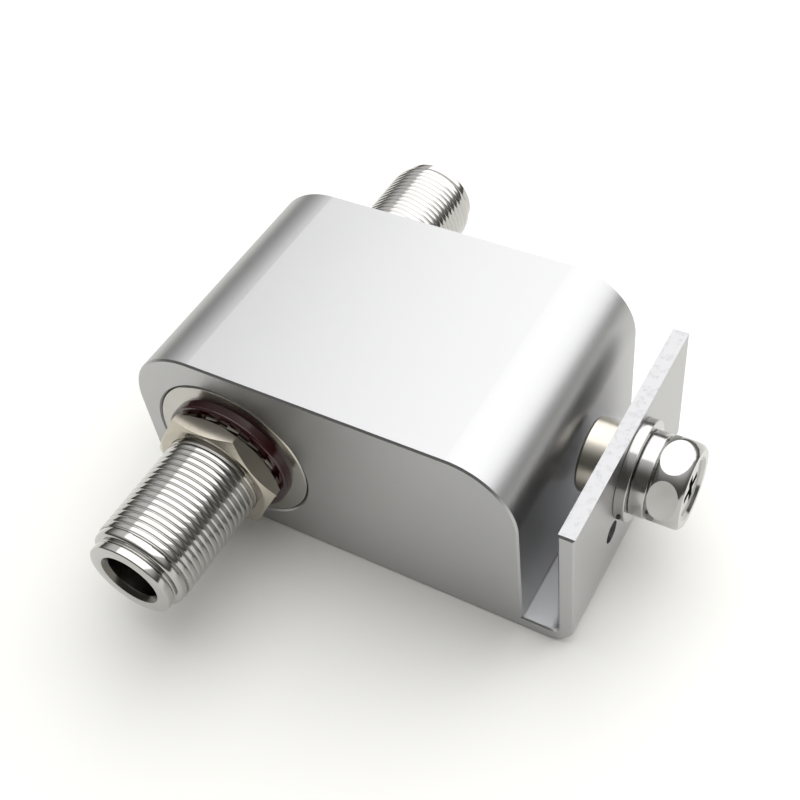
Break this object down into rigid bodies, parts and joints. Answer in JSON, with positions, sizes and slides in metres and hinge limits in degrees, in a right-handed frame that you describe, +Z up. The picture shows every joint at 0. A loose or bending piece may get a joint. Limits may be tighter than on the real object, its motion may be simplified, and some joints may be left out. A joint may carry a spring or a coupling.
{
  "type": "coaxial lightning arrestor",
  "caption": "In-line coaxial surge arrestor: an extruded body with an upturned ground plate, screw ports on one axis, a panel nut and a ground bolt.",
  "frame": {"origin": "on the base face, below the coaxial line and halfway along the housing", "axes": "+X across the housing to the ground plate, +Y back along the coaxial line to the bare port, +Z up"},
  "size_m": [0.0834, 0.0938, 0.034],
  "materials": {
    "anodised": "satin, bead blasted and clear anodised",
    "nickel": "bright nickel plate",
    "tinted_nickel": "nickel plate with a warm tint",
    "stainless": "polished",
    "brass": "turned",
    "contact": "plated",
    "insulator": "matt",
    "gasket": "glossy",
    "seal": "matt"
  },
  "bodies": {
    "arrestor": {"housing": "anodised", "front_shell": "nickel", "rear_shell": "nickel", "front_flange_seal": "seal", "rear_flange_seal": "seal", "plug_seal": "seal", "front_insulator": "insulator", "rear_insulator": "insulator", "front_bead_bush": "nickel", "rear_bead_bush": "nickel", "front_contact": "contact", "rear_contact": "contact", "line_rod": "brass", "stub_rod": "brass", "stub_screw": "brass", "stub_plug": "anodised", "panel_gasket": "gasket", "ground_nut": "tinted_nickel"},
    "nut_travel": {"panel_lock_washer": "nickel"},
    "nut": {"panel_nut": "tinted_nickel"},
    "bolt_travel": {"ground_flat_washer": "stainless", "ground_spring_washer": "stainless"},
    "bolt": {"ground_bolt": "stainless"}
  },
  "joints": [
    {"name": "panel_nut_travel", "type": "slide", "parent": "arrestor", "child": "nut_travel", "axis": [0, -1, 0], "range_m": [0, 0.0174]},
    {"name": "panel_nut_turn", "type": "hinge", "parent": "nut_travel", "child": "nut", "pos_m": [0, -0.0249, 0.01635], "axis": [0, -1, 0], "range_deg": [0, 5900]},
    {"name": "ground_bolt_travel", "type": "slide", "parent": "arrestor", "child": "bolt_travel", "axis": [1, 0, 0], "range_m": [0, 0.006]},
    {"name": "ground_bolt_turn", "type": "hinge", "parent": "bolt_travel", "child": "bolt", "pos_m": [0.064, 0, 0.0185], "axis": [1, 0, 0], "range_deg": [0, 1720]}
  ],
  "couplings": [
    {"joint": "panel_nut_travel", "follows": "panel_nut_turn", "m_per_rad": 0.00016844},
    {"joint": "ground_bolt_travel", "follows": "ground_bolt_turn", "m_per_rad": 0.00019894}
  ]
}
